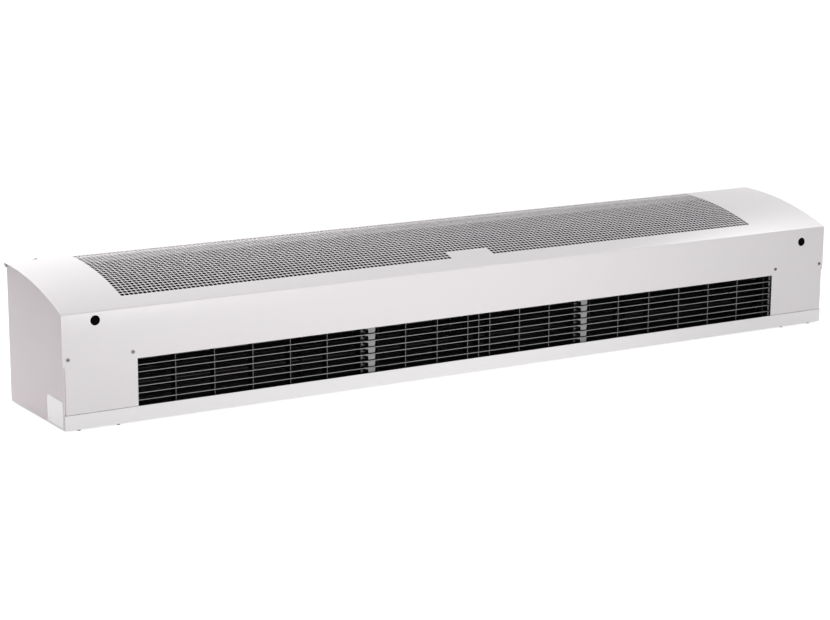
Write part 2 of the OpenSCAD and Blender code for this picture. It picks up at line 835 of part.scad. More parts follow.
module din_rail() {
    side_w = rail_w / 2 - rail_wing;
    color("silver") {
        translate([rail_x, front_y + rail_d, sheet]) rotate([90, 0, 180]) linear_extrude(height = rail_len)
            for (side = [0, 1]) mirror([side, 0]) {
                square([side_w, rail_t]);
                translate([side_w - rail_t, 0]) square([rail_t, rail_h]);
                translate([side_w - rail_t, rail_h - rail_t]) square([rail_wing + rail_t, rail_t]);
            }
    }
}

module terminal_block() {
    z0 = sheet + rail_h;
    d0 = lead_d - block_len / 2;
    color("ivory") difference() {
        box_at(rail_x - block_w / 2, rail_x + block_w / 2, d0, d0 + block_len, z0, z0 + block_h);
        for (i = [0 : block_poles - 1])
            translate([rail_x, front_y + d0 + block_len * (i + 0.5) / block_poles,
                z0 + block_h - block_hole[1]])
                cylinder(r = block_hole[0], h = block_hole[1] + past, $fn = round_fn);
    }
}

module contactors() {
    z0 = sheet + rail_h;
    z1 = z0 + contactor_size[2];
    half_w = contactor_size[0] / 2;
    half_top = contactor_top[0] / 2;
    color("dimgray") for (d = contactor_d) {
        d1 = d + contactor_size[1];
        box_at(rail_x - half_w, rail_x + half_w, d, d1, z0, z1);
        box_at(rail_x - half_top, rail_x + half_top, d, d1, z1 - eps, z1 + contactor_top[1]);
    }
}

// The motor's lead: down from the motor, back along the tray and left behind the fan.
module lead_elbow() {
    rotate_extrude(angle = 90, $fn = round_fn)
        translate([lead_bend_r, 0]) circle(r = lead_r, $fn = round_fn);
}

module motor_lead() {
    x = motor_x + motor_len / 2 + lead_aside;
    bend = lead_bend_r;
    color("dimgray") {
        translate([x, front_y + fan_d, lead_z + bend])
            cylinder(r = lead_r, h = lead_top - lead_z - bend, $fn = round_fn);
        translate([x, front_y + fan_d + bend, lead_z + bend]) rotate([0, -90, 0]) rotate(180) lead_elbow();
        bar_y(fan_d + bend, lead_d - bend, lead_r, x, lead_z);
        translate([x - bend, front_y + lead_d - bend, lead_z]) lead_elbow();
        bar_x(rail_x + block_w / 2, x - bend, lead_r, lead_d, lead_z);
    }
}

module lead_grommets() {
    color("black") for (x = [-plate_x - sheet / 2, plate_x + sheet / 2]) difference() {
        tube_x(x - grommet_len / 2, x + grommet_len / 2, grommet_r, lead_r + loose, lead_d, lead_z);
        tube_x(x - sheet / 2, x + sheet / 2, grommet_r + past, grommet_hole_r, lead_d, lead_z);
    }
}

/* Fastenings and fittings */

module wall_hole_places() {
    for (sx = [-1, 1], sy = [-1, 1])
        translate([sx * (half_len - wall_hole_edge[0]), sy * (casing_depth / 2 - wall_hole_edge[1]), 0])
            children();
}

module tray_screw_places() {
    for (end = tray_screw_end, sx = [-1, 1], sy = [-1, 1])
        translate([sx * (half_len - end), sy * (casing_depth / 2 - tray_screw_edge), 0]) children();
}

module cover_screw_places() {
    for (end = cover_screw_end, sx = [-1, 1]) translate([sx * (half_len - end), 0, 0]) children();
}

// Thick plates inside the tray that carry the wall holes.
module wall_plates() {
    reach = wall_plate_size[1];
    long = wall_plate_size[0];
    color("silver") difference() {
        for (sx = [-1, 1], sy = [-1, 1])
            translate([sx * (half_len - (tray_screw_end[0] + tray_screw_end[1]) / 2) - long / 2,
                sy * (casing_depth / 2 - sheet - wall_plate_edge - reach / 2) - reach / 2, sheet])
                cube([long, reach, wall_plate_size[2]]);
        wall_hole_places() drill(wall_hole_r, sheet + wall_plate_size[2]);
        tray_screw_places() drill(screw_r, sheet + wall_plate_size[2]);
    }
}

// Black snap-in plug: a thin domed head over the hole and a sleeve through it.
module hole_plug(x, z) {
    color("black") translate([x, front_y, z]) rotate([90, 0, 0]) {
        cylinder(r1 = plug_r, r2 = plug_r - 1, h = plug_head_h, $fn = round_fn);
        translate([0, 0, -plug_sleeve]) difference() {
            cylinder(r = plug_hole_r - 0.2, h = plug_sleeve + plug_head_h / 2, $fn = round_fn);
            translate([0, 0, -past])
                cylinder(r = plug_hole_r - 0.2 - plug_wall, h = plug_sleeve, $fn = round_fn);
        }
    }
}

module plug_left() hole_plug(plug_end - half_len, plug_left_z);
module plug_right() hole_plug(half_len - plug_end, plug_right_z);

// Pan-head screw with a cross slot, its head at z = 0 and up.
module pan_screw(length, head_r, head_h) {
    slot_len = head_r * 1.2;
    difference() {
        union() {
            cylinder(r = head_r, h = head_h, $fn = round_fn);
            translate([0, 0, -length]) cylinder(r = screw_r, h = length + eps, $fn = round_fn);
        }
        for (a = [0, 90]) rotate(a)
            translate([-slot_len / 2, -slot_w / 2, head_h - slot_depth])
                cube([slot_len, slot_w, slot_depth + past]);
    }
}

module cover_screws() {
    color("darkgray") cover_screw_places()
        translate([0, front_y, cover_screw_z]) rotate([90, 0, 0])
            pan_screw(cover_screw_len, screw_head_r, screw_head_h);
}

module tray_screws() {
    color("darkgray") tray_screw_places() rotate([180, 0, 0])
        pan_screw(tray_screw_len, tray_head_r, tray_head_h);
}

module gland_place() {
    translate([gland_x, front_y + casing_depth, gland_z]) rotate([-90, 0, 0]) children();
}

module cable_gland() {
    color("dimgray") gland_place() difference() {
        union() {
            cylinder(r = gland_flat_r / cos(30), h = gland_hex_h, $fn = 6);
            translate([0, 0, gland_hex_h - eps])
                cylinder(r = gland_body_r, h = gland_nut_h - gland_taper + eps, $fn = round_fn);
            translate([0, 0, gland_hex_h + gland_nut_h - gland_taper - eps])
                cylinder(r1 = gland_body_r, r2 = cable_r + gland_lip, h = gland_taper + eps, $fn = round_fn);
            translate([0, 0, -gland_thread_len])
                cylinder(r = gland_thread_r - thread_play, h = gland_thread_len + eps, $fn = round_fn);
        }
        translate([0, 0, -gland_thread_len]) drill(cable_r, gland_thread_len + gland_hex_h + gland_nut_h);
    }
}

module gland_nut() {
    color("dimgray") gland_place() translate([0, 0, -sheet - gland_lock_h]) difference() {
        cylinder(r = gland_flat_r, h = gland_lock_h, $fn = 6);
        drill(gland_thread_r - thread_play, gland_lock_h);
    }
}

module rating_label() {
    color("white") box_at(-half_len - label_size[2], -half_len, label_from[0],
        label_from[0] + label_size[0], label_from[1], label_from[1] + label_size[1]);
}

base_tray();
end_panel_left();
end_panel_right();
top_cover();
outlet_grille_left();
outlet_grille_centre();
outlet_grille_right();
grille_combs();
fan_scroll();
fan_tongue();
side_plate_left();
side_plate_right();
fan_wheel_left();
fan_wheel_right();
left_shaft();
centre_shaft();
motor_shaft();
motor_rotor();
left_bearing_housing();
centre_bearing_plate();
bearing_rubbers();
bearing_bushes();
motor_front_shell();
motor_rear_shell();
motor_stator();
motor_windings();
motor_posts();
run_capacitor();
heater_hairpins();
heater_hangers();
heater_terminals();
overheat_cutout();
din_rail();
terminal_block();
contactors();
motor_lead();
lead_grommets();
wall_plates();
plug_left();
plug_right();
cover_screws();
tray_screws();
cable_gland();
gland_nut();
rating_label();
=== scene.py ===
import math

import bmesh
import bpy
from mathutils import Matrix, Vector


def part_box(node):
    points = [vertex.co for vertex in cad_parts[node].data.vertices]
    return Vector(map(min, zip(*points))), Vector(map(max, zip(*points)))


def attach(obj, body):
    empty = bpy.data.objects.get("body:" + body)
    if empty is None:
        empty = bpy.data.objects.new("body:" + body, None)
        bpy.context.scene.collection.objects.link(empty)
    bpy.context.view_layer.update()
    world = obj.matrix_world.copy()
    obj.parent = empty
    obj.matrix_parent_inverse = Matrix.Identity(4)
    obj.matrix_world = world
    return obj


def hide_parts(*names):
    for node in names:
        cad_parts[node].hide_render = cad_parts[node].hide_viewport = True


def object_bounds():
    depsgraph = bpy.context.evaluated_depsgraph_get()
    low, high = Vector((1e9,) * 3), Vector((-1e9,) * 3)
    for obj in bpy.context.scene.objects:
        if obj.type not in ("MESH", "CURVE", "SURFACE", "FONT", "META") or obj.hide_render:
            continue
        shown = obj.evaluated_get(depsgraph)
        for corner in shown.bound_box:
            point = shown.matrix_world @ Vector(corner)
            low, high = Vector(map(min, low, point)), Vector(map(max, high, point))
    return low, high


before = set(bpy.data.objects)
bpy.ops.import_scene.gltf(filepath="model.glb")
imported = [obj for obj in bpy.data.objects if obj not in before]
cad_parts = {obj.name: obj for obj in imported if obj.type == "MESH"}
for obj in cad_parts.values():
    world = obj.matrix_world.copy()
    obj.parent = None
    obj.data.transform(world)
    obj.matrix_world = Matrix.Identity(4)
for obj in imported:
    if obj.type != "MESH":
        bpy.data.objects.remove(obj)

cad_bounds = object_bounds()

# ---------------------------------------------------------------- Viewpoint, floor and light
# The photograph looks along the casing from its front left, 12 degrees down, with a long lens.
# The casing lies on its wall plate on a plain pale floor, under an even sky and four soft lamps.

MM = 0.001
PHOTO_WIDTH_PX = 830
FOCAL_LENGTH_PX = 2153.1
SENSOR_MM = 36.0
CAMERA_PLACE = (-2.6084, -4.0234, 1.1442)
CAMERA_LOOK = (0.51868, 0.82860, -0.21068)
CAMERA_UP = (0.10774, 0.18110, 0.97754)
VIEW_END = 50.0
WHITE = (1, 1, 1, 1)


def tint(hex_colour):
    """An sRGB hex colour as linear red, green, blue and alpha."""
    parts = [int(hex_colour[i:i + 2], 16) / 255 for i in (1, 3, 5)]
    linear = [c / 12.92 if c <= 0.04045 else ((c + 0.055) / 1.055) ** 2.4 for c in parts]
    return (*linear, 1.0)


def add(tree, kind, inputs=None, **settings):
    """Adds one node. inputs gives its sockets, by name or number, a value or another's socket."""
    made = tree.nodes.new(kind)
    for name, value in settings.items():
        setattr(made, name, value)
    for socket, value in (inputs or {}).items():
        if isinstance(value, bpy.types.NodeSocket):
            tree.links.new(value, made.inputs[socket])
        else:
            made.inputs[socket].default_value = value
    return made


def link_to_scene(thing):
    bpy.context.scene.collection.objects.link(thing)
    return thing


lens = bpy.data.cameras.new("camera")
lens.sensor_width = SENSOR_MM
lens.lens = SENSOR_MM * FOCAL_LENGTH_PX / PHOTO_WIDTH_PX
lens.clip_end = VIEW_END
camera = link_to_scene(bpy.data.objects.new("camera", lens))
looking = Vector(CAMERA_LOOK).normalized()
right = looking.cross(Vector(CAMERA_UP)).normalized()
turn = Matrix((right, right.cross(looking), -looking)).transposed()
camera.matrix_world = Matrix.Translation(CAMERA_PLACE) @ turn.to_4x4()
bpy.context.scene.camera = camera
bpy.context.scene.view_settings.view_transform = "Standard"

FLOOR_SIZE = 24.0
FLOOR_GAP = 0.2 * MM  # between the floor and the lowest screw heads
FLOOR_GREY = 0.70
FLOOR_LIFT = 0.79  # the floor is just white in view, and the shadow under the casing still shows
SKY_STRENGTH = 0.41


def in_view(tree):
    """1 where the camera looks, also by way of a glossy or clear surface, and otherwise 0."""
    rays = add(tree, "ShaderNodeLightPath")
    seen = add(tree, "ShaderNodeMath", {0: rays.outputs["Is Camera Ray"],
                                        1: rays.outputs["Is Glossy Ray"]}, operation="MAXIMUM")
    seen = add(tree, "ShaderNodeMath", {0: seen.outputs[0],
                                        1: rays.outputs["Is Transmission Ray"]}, operation="MAXIMUM")
    return seen.outputs[0]


floor_mesh = bpy.data.meshes.new("floor")
floor_z = cad_bounds[0][2] - FLOOR_GAP
half = FLOOR_SIZE / 2
floor_mesh.from_pydata([(-half, -half, floor_z), (half, -half, floor_z), (half, half, floor_z),
                        (-half, half, floor_z)], [], [(0, 1, 2, 3)])
floor = link_to_scene(bpy.data.objects.new("floor", floor_mesh))
floor_paper = bpy.data.materials.new("white background paper")
floor_paper.use_nodes = True
paper = floor_paper.node_tree
paper.nodes.clear()
lift = add(paper, "ShaderNodeMath", {0: in_view(paper), 1: FLOOR_LIFT}, operation="MULTIPLY")
matt = add(paper, "ShaderNodeBsdfDiffuse", {"Color": (FLOOR_GREY, FLOOR_GREY, FLOOR_GREY, 1)})
glow = add(paper, "ShaderNodeEmission", {"Color": WHITE, "Strength": lift.outputs[0]})
both = add(paper, "ShaderNodeAddShader", {0: matt.outputs[0], 1: glow.outputs[0]})
add(paper, "ShaderNodeOutputMaterial", {"Surface": both.outputs[0]})
floor_mesh.materials.append(floor_paper)

world = bpy.data.worlds.new("studio")
bpy.context.scene.world = world
world.use_nodes = True
sky = world.node_tree
sky.nodes.clear()
even = add(sky, "ShaderNodeBackground", {"Color": WHITE, "Strength": SKY_STRENGTH})
white = add(sky, "ShaderNodeBackground", {"Color": WHITE, "Strength": 1.0})
mixed = add(sky, "ShaderNodeMixShader", {0: in_view(sky), 1: even.outputs[0], 2: white.outputs[0]})
add(sky, "ShaderNodeOutputWorld", {"Surface": mixed.outputs[0]})

# where each lamp hangs, where it points, its size and its power in watts
LAMPS = {
    "front_lamp": ((-0.15, -2.0, 0.25), (-0.15, 0.0, 0.13), 0.8, 19.5),
    "rear_lamp": ((-0.9, 1.8, 2.2), (-0.6, 0.0, 0.3), 1.2, 3.5),
    "left_lamp": ((-0.95, 0.9, 1.2), (-0.9, 0.0, 0.28), 0.5, 12.8),
    "right_lamp": ((1.7, 0.3, 1.3), (0.8, 0.0, 0.28), 0.6, 5.8),
}
for name, (place, target, size, watts) in LAMPS.items():
    lamp = bpy.data.lights.new(name, "AREA")
    lamp.shape = "DISK"
    lamp.size = size
    lamp.energy = watts
    holder = link_to_scene(bpy.data.objects.new(name, lamp))
    holder.visible_camera = False
    aim = (Vector(target) - Vector(place)).to_track_quat("-Z", "Y")
    holder.matrix_world = Matrix.Translation(place) @ aim.to_matrix().to_4x4()


# ---------------------------------------------------------------- Tray and wall plates
# The tray is one sheet of 1.2 mm steel, folded up in front into a low lip and behind into the
# rear wall, powder coated. Four thick galvanised plates inside it carry the wall holes.

SHEET = 1.2 * MM
EDGE_ROUND = 0.35 * MM
EDGE_ANGLE = 35  # degrees: edges sharper than this are rounded
WELD = 0.002 * MM
FLAT = math.radians(0.5)  # faces that differ by less become one
WALL_AREA = 1000 * MM * MM  # the tray's large inner faces, not its edges and the rims of its holes
PEEL_SIZE, PEEL_DEPTH = 2.2, 0.012  # the orange peel of a powder coating, in mm
NOISE_LOW, NOISE_HIGH = 0.3, 0.7  # noise seldom leaves this range


def finish(name, hex_colour, roughness, metallic=0.0, others=None):
    """A new material, its tree, its shader and its object coordinates, to build a pattern on."""
    material = bpy.data.materials.new(name)
    material.use_nodes = True
    tree = material.node_tree
    shader = tree.nodes["Principled BSDF"]
    values = {"Base Color": tint(hex_colour), "Roughness": roughness, "Metallic": metallic}
    for socket, value in {**values, **(others or {})}.items():
        shader.inputs[socket].default_value = value
    place = add(tree, "ShaderNodeTexCoord").outputs["Object"]
    return material, tree, shader, place


def grain(tree, shader, place, size_mm, depth_mm, stretch=(1, 1, 1)):
    """Bumps a surface with noise, size_mm between its lumps and depth_mm high. Returns the noise."""
    laid = add(tree, "ShaderNodeMapping", {"Vector": place, "Scale": stretch})
    noise = add(tree, "ShaderNodeTexNoise", {"Vector": laid.outputs[0], "Scale": 1 / (size_mm * MM),
                                             "Detail": 3.0, "Roughness": 0.55})
    bump = add(tree, "ShaderNodeBump", {"Height": noise.outputs[0], "Strength": 1.0,
                                        "Distance": depth_mm * MM})
    tree.links.new(bump.outputs[0], shader.inputs["Normal"])
    return noise


def grained(name, hex_colour, roughness, size_mm, depth_mm, metallic=0.0, stretch=(1, 1, 1),
            others=None):
    """A new material of one colour with a fine grain."""
    material, tree, shader, place = finish(name, hex_colour, roughness, metallic, others)
    grain(tree, shader, place, size_mm, depth_mm, stretch)
    return material


def vary(tree, shader, socket, driver, low, high):
    """Drives a shader's socket between low and high with a pattern, colours given as hex."""
    if isinstance(low, str):  # 6 and 7 are the colours of the Mix node
        ramp = add(tree, "ShaderNodeMix", {0: driver, 6: tint(low), 7: tint(high)}, data_type="RGBA")
        tree.links.new(ramp.outputs[2], shader.inputs[socket])
    else:
        ramp = add(tree, "ShaderNodeMapRange", {"Value": driver, "From Min": NOISE_LOW,
                                                "From Max": NOISE_HIGH, "To Min": low, "To Max": high})
        tree.links.new(ramp.outputs[0], shader.inputs[socket])


# Polyester powder coating, baked: white, satin, with a faint orange peel of about 2 mm. The
# tray is drawn a touch lighter than the cover. The end panels are drawn a touch warmer: painted
# shade, the pinkish tint that the white takes in the shade on the ends.
coats = {}
for part, low_tint, high_tint in (("tray", "#F5F3F4", "#F8F6F7"),
                                  ("panel", "#F1E6E9", "#F4E9EC"),
                                  ("cover", "#EAE6E8", "#EDE9EB")):
    coats[part], tree, shader, place = finish(part + "_powder_coating", high_tint, 0.34)
    peel = grain(tree, shader, place, PEEL_SIZE, PEEL_DEPTH)
    vary(tree, shader, "Roughness", peel.outputs[0], 0.30, 0.38)
    drift = add(tree, "ShaderNodeTexNoise", {"Vector": place, "Scale": 3.0, "Detail": 2.0})
    vary(tree, shader, "Base Color", drift.outputs[0], low_tint, high_tint)

# Within the tray's walls its coating is drawn a touch darker and duller: painted shade for the dim
# inside.
inner_painted_shade = grained("thin_powder_mist", "#F0EFF0", 0.60, PEEL_SIZE, PEEL_DEPTH)

# Hot-dip galvanised sheet: bright zinc with flat crystals of 6 to 12 mm that differ in gloss.
galvanised, tree, shader, place = finish("galvanised_sheet", "#B9BEC2", 0.38, 1.0)
spangle = add(tree, "ShaderNodeTexVoronoi", {"Vector": place, "Scale": 1 / (9 * MM), "Randomness": 1.0})
patch = add(tree, "ShaderNodeSeparateColor", {0: spangle.outputs["Color"]})
vary(tree, shader, "Base Color", patch.outputs[0], "#A9AFB4", "#CDD1D4")
vary(tree, shader, "Roughness", patch.outputs[1], 0.30, 0.48)
grain(tree, shader, place, 1.2, 0.01)


def dress(node, material):
    """A CAD node that keeps its mesh gets its finish."""
    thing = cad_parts[node]
    for slot in thing.material_slots:
        slot.link = "OBJECT"
        slot.material = material


def fit(piece, nodes=()):
    """The piece rides on the casing and stands for the CAD nodes, which are hidden."""
    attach(piece, "casing")
    if nodes:
        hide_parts(*nodes)
    return piece


def smooth(mesh, sharp_angle):
    """Smooth shading, apart from the edges sharper than this angle in degrees."""
    mesh.shade_smooth()
    mesh.set_sharp_from_angle(angle=math.radians(sharp_angle))


def soften(node, material, width=EDGE_ROUND):
    """A merged copy of a CAD node's mesh with its sharp edges rounded, in the node's place."""
    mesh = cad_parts[node].data.copy()
    shape = bmesh.new()
    shape.from_mesh(mesh)
    bmesh.ops.remove_doubles(shape, verts=shape.verts, dist=WELD)
    bmesh.ops.dissolve_limit(shape, angle_limit=FLAT, verts=shape.verts, edges=shape.edges)
    shape.to_mesh(mesh)
    shape.free()
    mesh.materials.clear()
    mesh.materials.append(material)
    piece = link_to_scene(bpy.data.objects.new(node + "_shell", mesh))
    rounding = piece.modifiers.new("rounded edges", "BEVEL")
    rounding.width = width
    rounding.segments = 2
    rounding.limit_method = "ANGLE"
    rounding.angle_limit = math.radians(EDGE_ANGLE)
    smooth(mesh, EDGE_ANGLE)
    return fit(piece, [node])


tray = soften("base_tray", coats["tray"])
tray.data.materials.append(inner_painted_shade)
wall_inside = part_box("base_tray")[1][1] - SHEET / 2
# The tray's large inner faces take that painted shade.
for face in tray.data.polygons:
    within = abs(face.center.y) < wall_inside and face.center.z > SHEET / 2
    if within and face.area > WALL_AREA:
        face.material_index = 1
soften("wall_plates", galvanised)

# ---------------------------------------------------------------- Ducting and partitions
# Folded sheet, screwed down: the scroll behind the fan and the tongue above the duct, drawn near
# black as painted shade, and the two bright galvanised partitions. The end compartments lie outside
# these.

# Near black and dull: painted shade, for the deep shade within the casing. The heater's black
# hangers take it too.
black_coat_and_painted_shade = grained("black_powder_coating", "#070708", 0.75, PEEL_SIZE, PEEL_DEPTH,
                     others={"Specular IOR Level": 0.15})

for node in ("fan_scroll", "fan_tongue"):
    soften(node, black_coat_and_painted_shade)
for node in ("side_plate_left", "side_plate_right"):
    soften(node, galvanised)

# ---------------------------------------------------------------- Fan wheels and shafts
# Two tangential wheels pressed from aluminium strip: 24 curved blades crimped into discs. Steel
# stub shafts are pressed into their hubs.

# Pressed aluminium strip: pale, with the rolling marks running along it.
fan_strip, tree, shader, place = finish("rolled_aluminium_strip", "#B4B6B8", 0.36, 1.0)
marks = grain(tree, shader, place, 3.0, 0.01, stretch=(0.03, 1, 1))
vary(tree, shader, "Roughness", marks.outputs[0], 0.30, 0.46)

# Drawn steel bar: smooth and grey, with fine rings from turning.
drawn_steel, tree, shader, place = finish("drawn_steel_bar", "#8E9093", 0.28, 1.0)
marks = grain(tree, shader, place, 1.5, 0.006, stretch=(3, 0.3, 0.3))
vary(tree, shader, "Roughness", marks.outputs[0], 0.22, 0.36)

for node in ("fan_wheel_left", "fan_wheel_right"):
    dress(node, fan_strip)
for node in ("left_shaft", "centre_shaft", "motor_shaft"):
    dress(node, drawn_steel)

# ---------------------------------------------------------------- Bearings
# Bronze bushes in rubber rings: one in a cup on the left partition, one in a plate between the
# wheels. The rubber keeps the fan's hum out of the casing.

# Moulded rubber: black, dull, with a fine skin.
moulded_rubber = grained("moulded_rubber", "#161616", 0.75, 0.8, 0.03)

# Sintered bronze soaked with oil: brown-gold, finely porous.
bush_bronze = grained("sintered_bronze", "#9A7340", 0.40, 0.4, 0.02, metallic=1.0)

soften("left_bearing_housing", galvanised)
soften("centre_bearing_plate", galvanised)
dress("bearing_rubbers", moulded_rubber)
dress("bearing_bushes", bush_bronze)

# ---------------------------------------------------------------- Motor
# A capacitor motor on four posts outside the right partition: two deep-drawn shells round a
# laminated stator with copper windings, and a rotor pressed on the shaft.

# Stoved grey paint on a pressed shell: even, half gloss.
motor_paint = grained("grey_motor_paint", "#5B5E61", 0.45, 1.5, 0.01)

# Electrical steel stampings, stacked: dark grey. Their edges are 0.5 mm apart, too fine to show,
# so a groove is drawn every 2 mm, as a wave texture has 20 radians to the unit.
GROOVE_SCALE = 1 / (6.28 * MM)
lamination, tree, shader, place = finish("stacked_steel_stampings", "#45484C", 0.50, 1.0)
stack = add(tree, "ShaderNodeTexWave", {"Vector": place, "Scale": GROOVE_SCALE}, bands_direction="X")
notches = add(tree, "ShaderNodeBump", {"Height": stack.outputs[0], "Distance": 0.1 * MM})
tree.links.new(notches.outputs[0], shader.inputs["Normal"])

# Enamelled copper wire: orange-brown and glossy.
copper_wire = grained("enamelled_copper_wire", "#9C5A2E", 0.30, 1.0, 0.15, metallic=1.0,
                      stretch=(2, 1, 1))

# The capacitor's moulded can: ivory and smooth.
ivory_can = grained("ivory_moulded_can", "#DEDACB", 0.35, 2.0, 0.01)

dress("motor_front_shell", motor_paint)
dress("motor_rear_shell", motor_paint)
dress("motor_stator", lamination)
dress("motor_rotor", lamination)
dress("motor_windings", copper_wire)
dress("motor_posts", drawn_steel)
dress("run_capacitor", ivory_can)

# ---------------------------------------------------------------- Heater
# Three hairpins of steel-sheathed element in the outlet duct, hung in two black hangers, with
# ceramic ends outside the left partition. A cut-out on the right partition watches the heat.

# Stainless tube after many heats: dark straw to brown, satin.
heated_tube, tree, shader, place = finish("heated_stainless_tube", "#403C3A", 0.45, 1.0)
tarnish = grain(tree, shader, place, 14.0, 0.01)
vary(tree, shader, "Base Color", tarnish.outputs[0], "#332F2D", "#4C4744")

# Glazed steatite: cream white, glossy.
glazed_ceramic = grained("glazed_steatite", "#E6E0D2", 0.22, 1.5, 0.01)

dress("heater_hairpins", heated_tube)
soften("heater_hangers", black_coat_and_painted_shade)
dress("heater_terminals", glazed_ceramic)
dress("overheat_cutout", glazed_ceramic)

# ---------------------------------------------------------------- Electrical compartment
# Left of the left partition: a steel rail with two contactors and the terminal block, and the
# motor's lead, which runs along the tray through a grommet in each partition.

# Moulded polyamide, dark grey: matt, with a faint spark-eroded texture.
dark_polyamide = grained("dark_grey_polyamide", "#3B3D3F", 0.55, 0.6, 0.03)

# Moulded polyamide, ivory: matt, a little finer.
ivory_polyamide = grained("ivory_polyamide", "#D6D0BC", 0.50, 0.6, 0.02)

# Flexible PVC sheath: smooth dark grey.
pvc_sheath = grained("pvc_sheath", "#26272A", 0.48, 1.2, 0.015)

soften("din_rail", galvanised)
soften("contactors", dark_polyamide, 0.8 * MM)
soften("terminal_block", ivory_polyamide, 0.6 * MM)
dress("motor_lead", pvc_sheath)
dress("lead_grommets", moulded_rubber)

# ---------------------------------------------------------------- Outlet grille
# Three black ABS mouldings side by side, set back in the outlet: level blades with a rounded nose
# on upright ribs, between two rails. They only press in between the duct's floor and hood.

BLADE_COUNT = 7
BLADE_PITCH = 14.75 * MM
FIRST_BLADE = 16.3 * MM
BLADE_THICK = 1.6 * MM
BLADE_TAIL = 1.0 * MM
NOSE_STEP = 30  # degrees from one point of a blade's round nose to the next
HIGHLIGHT_SIDES = range(1, 5)  # of the nose's six
RAIL_SET_BACK = 1.0 * MM
RIB_SET_BACK = 3.0 * MM
RIB_SHORT = 1.0 * MM  # a rib stops this far before the blades' tails
RIB_GAP = 0.2 * MM  # above and below a rib
RIB_HIGHLIGHT = 0.55
OUTER_RIBS = 255 * MM  # past this distance from a moulding's middle
SIDE_RIBS = (-262, -178.8, -89.4, 0, 89.4, 178.8, 262)
CENTRE_RIBS = (-262, -192, -110, -29.4, 0, 29.4, 110, 192, 262)
ALONG_X, ALONG_Y, ALONG_Z = 0, 1, 2

# Black ABS, moulded in a polished tool. The noses of the blades are drawn silver grey: a painted
# highlight, and on the inner ribs' front edges a thinner, fainter one. The combs' shaded faces take
# the plain black as painted shade.
black_abs_and_painted_light, tree, shader, place = finish("black_abs_with_silver_edges", "#101011", 0.40,
                                        others={"Specular IOR Level": 0.3})
skin = grain(tree, shader, place, 1.5, 0.015)
vary(tree, shader, "Roughness", skin.outputs[0], 0.34, 0.48)
foil = add(tree, "ShaderNodeAttribute", attribute_name="foil")
vary(tree, shader, "Base Color", foil.outputs["Fac"], "#101011", "#B0B0B2")


def new_tree(name, **inputs):
    """A geometry node tree with a geometry input and output and further named inputs."""
    tree = bpy.data.node_groups.new(name, "GeometryNodeTree")
    tree.interface.new_socket("Geometry", in_out="INPUT", socket_type="NodeSocketGeometry")
    for label, kind in inputs.items():
        tree.interface.new_socket(label, in_out="INPUT", socket_type="NodeSocket" + kind)
    tree.interface.new_socket("Geometry", in_out="OUTPUT", socket_type="NodeSocketGeometry")
    return tree, add(tree, "NodeGroupInput").outputs


def ladder(tree, count, first, pitch):
    """Points one above the other, from the height first up."""
    lowest = add(tree, "ShaderNodeCombineXYZ", {"Z": first})
    rise = add(tree, "ShaderNodeCombineXYZ", {"Z": pitch})
    rungs = add(tree, "GeometryNodeMeshLine", {"Count": count, "Start Location": lowest.outputs[0],
                                               "Offset": rise.outputs[0]})
    return rungs.outputs[0]


def repeat(tree, points, source, **more):
    """The source object's shape, once at every point."""
    info = add(tree, "GeometryNodeObjectInfo", {"Object": source})
    copies = add(tree, "GeometryNodeInstanceOnPoints", {
        "Points": points, "Instance": info.outputs["Geometry"], **more})
    return copies.outputs[0]


def end_tree(tree, shapes, material):
    """Realizes what the tree made, gives it its material and passes it out."""
    joined = add(tree, "GeometryNodeJoinGeometry")
    for shape in reversed(shapes):
        tree.links.new(shape, joined.inputs[0])
    real = add(tree, "GeometryNodeRealizeInstances", {0: joined.outputs[0]})
    coated = add(tree, "GeometryNodeSetMaterial", {0: real.outputs[0], "Material": material})
    add(tree, "NodeGroupOutput", {0: coated.outputs[0]})


def bake(thing):
    """A plain mesh of what an object's modifiers make of it."""
    bpy.context.view_layer.update()
    made = thing.evaluated_get(bpy.context.evaluated_depsgraph_get())
    return bpy.data.meshes.new_from_object(made)


def grow(name, tree, start, **values):
    """A plain mesh object of what the tree makes of the start mesh."""
    seed = link_to_scene(bpy.data.objects.new(name + "_seed", start))
    modifier = seed.modifiers.new("nodes", "NODES")
    modifier.node_group = tree
    for item in tree.interface.items_tree:
        if item.name in values:
            modifier[item.identifier] = values[item.name]
    mesh = bake(seed)
    bpy.data.objects.remove(seed)
    return link_to_scene(bpy.data.objects.new(name, mesh))


def flat_mesh(name, points, faces=()):
    mesh = bpy.data.meshes.new(name)
    mesh.from_pydata(points, [], faces)
    mesh.update()
    return mesh


templates = []


def template(mesh):
    """A shape that trees repeat. It isn't part of the object and is removed at the end."""
    thing = link_to_scene(bpy.data.objects.new(mesh.name, mesh))
    templates.append(thing)
    return thing


def prism(name, outline, axis, ends, highlighted_sides=(), highlight_strength=1.0):
    """A closed bar: the outline drawn along an axis between two ends. The sides it lists get a painted
    highlight.
    """
    rings = [[(*point[:axis], end, *point[axis:]) for point in outline] for end in ends]
    count = len(outline)
    sides = [(i, (i + 1) % count, count + (i + 1) % count, count + i) for i in range(count)]
    caps = [tuple(reversed(range(count))), tuple(range(count, 2 * count))]
    mesh = flat_mesh(name, rings[0] + rings[1], sides + caps)
    foil = mesh.attributes.new("foil", "FLOAT", "FACE")
    for i in highlighted_sides:
        foil.data[i].value = highlight_strength
    shape = bmesh.new()
    shape.from_mesh(mesh)
    bmesh.ops.recalc_face_normals(shape, faces=shape.faces)
    shape.to_mesh(mesh)
    shape.free()
    return mesh


def nose_outline(front, back, thick, tail):
    """A blade's section: a half-round nose in front, tapering to a thin tail."""
    r = thick / 2
    nose = [(front + r - r * math.sin(a), r * math.cos(a))
            for a in (math.radians(d) for d in range(0, 181, NOSE_STEP))]
    return nose + [(back, -tail / 2), (back, tail / 2)]


